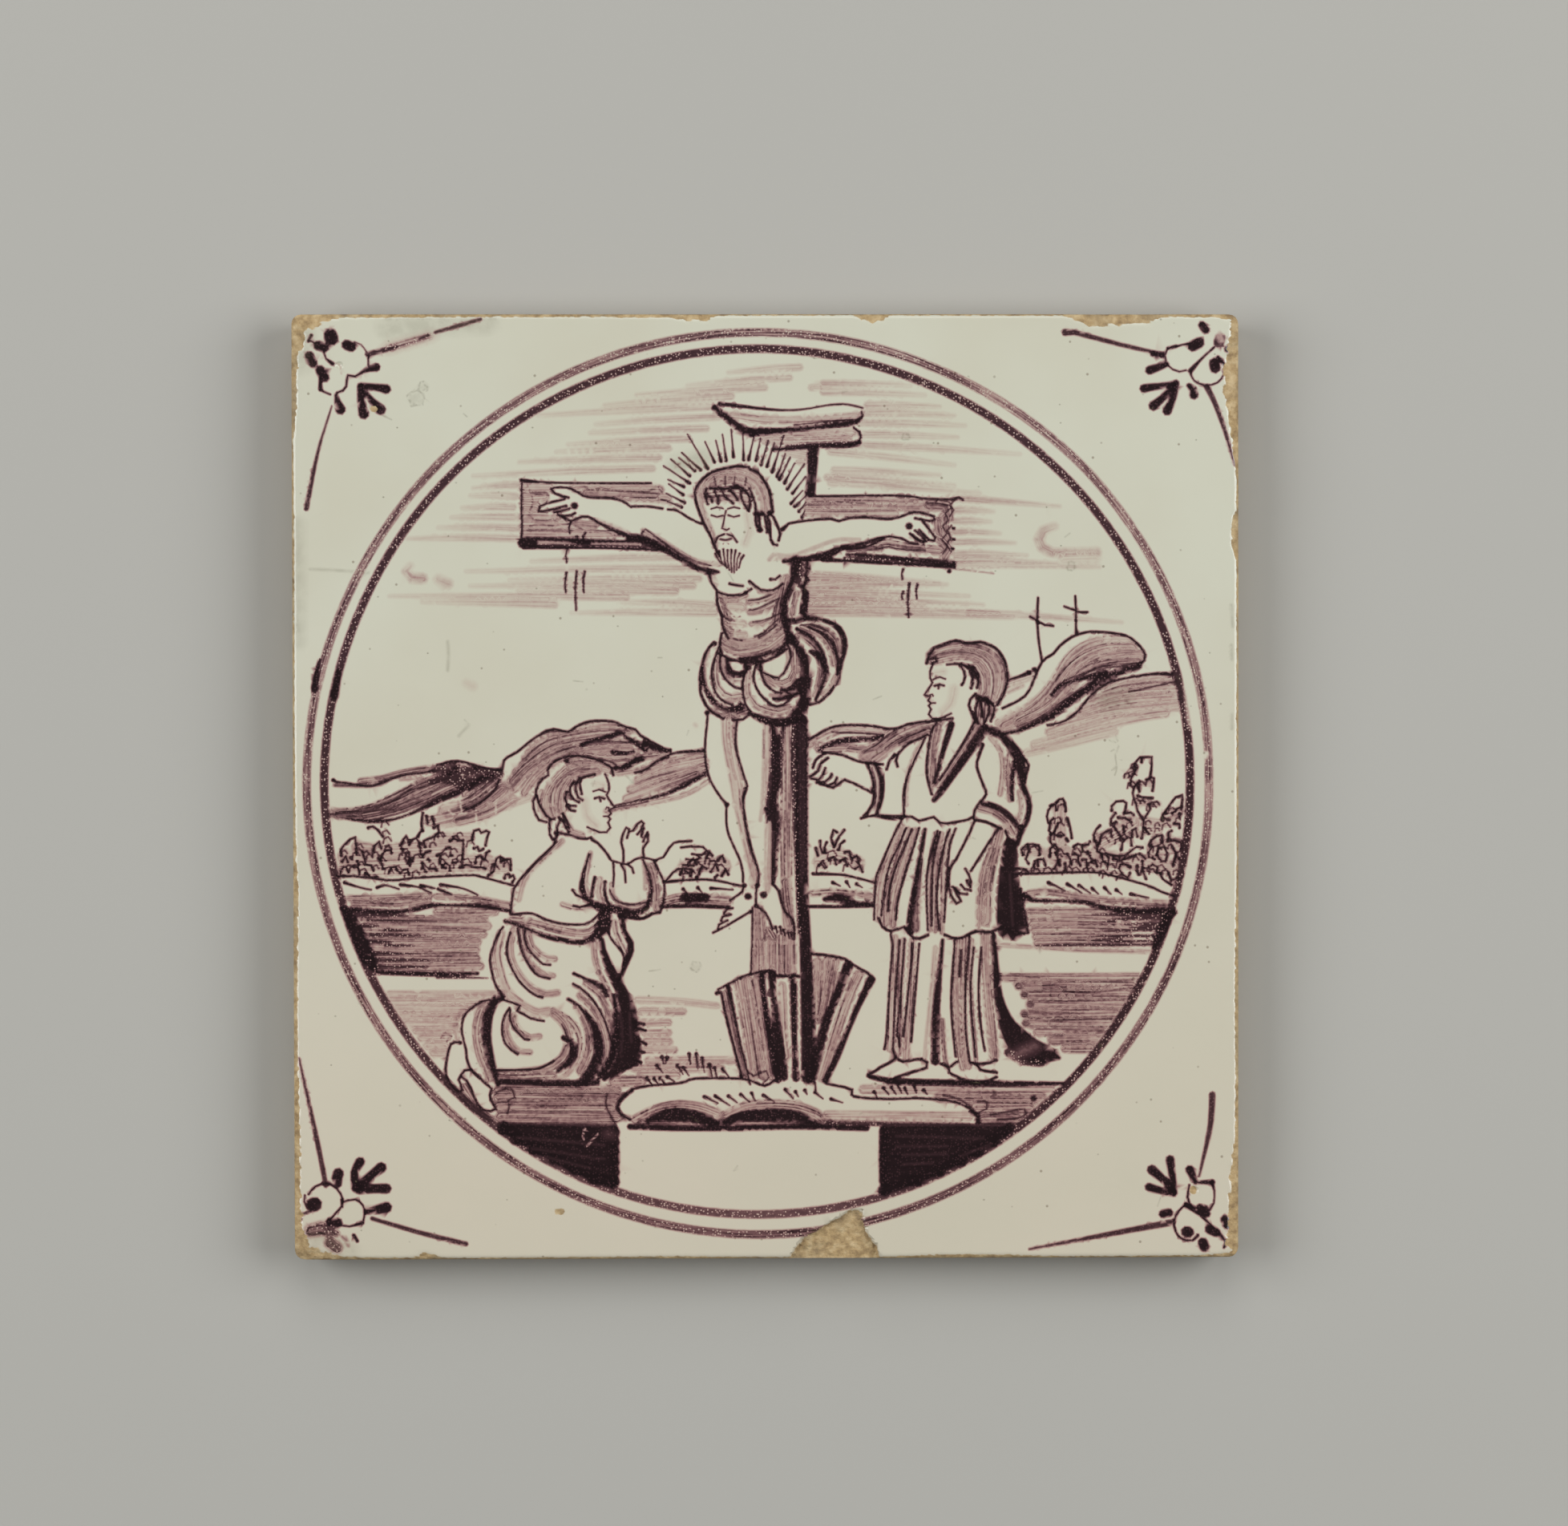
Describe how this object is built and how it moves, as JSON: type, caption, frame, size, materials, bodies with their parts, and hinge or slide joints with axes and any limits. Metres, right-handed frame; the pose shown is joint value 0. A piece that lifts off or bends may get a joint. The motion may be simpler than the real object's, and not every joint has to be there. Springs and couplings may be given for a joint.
{
  "type": "tin-glazed wall tile",
  "caption": "Square hand-cut earthenware wall tile with undercut sides, a rounded glaze arris, chipped edges and a face painted in manganese purple.",
  "frame": {"origin": "middle of the back, on the surface that the tile lies on", "axes": "+Z out of the glazed face, +Y to the head of the picture, +X to its right"},
  "size_m": [0.13, 0.1298, 0.0075],
  "materials": {
    "tin_glaze": "glossy greenish-white tin glaze over a buff fired-clay body, painted in manganese purple"
  },
  "bodies": {
    "root": {"wall_tile": "tin_glaze"}
  },
  "joints": []
}
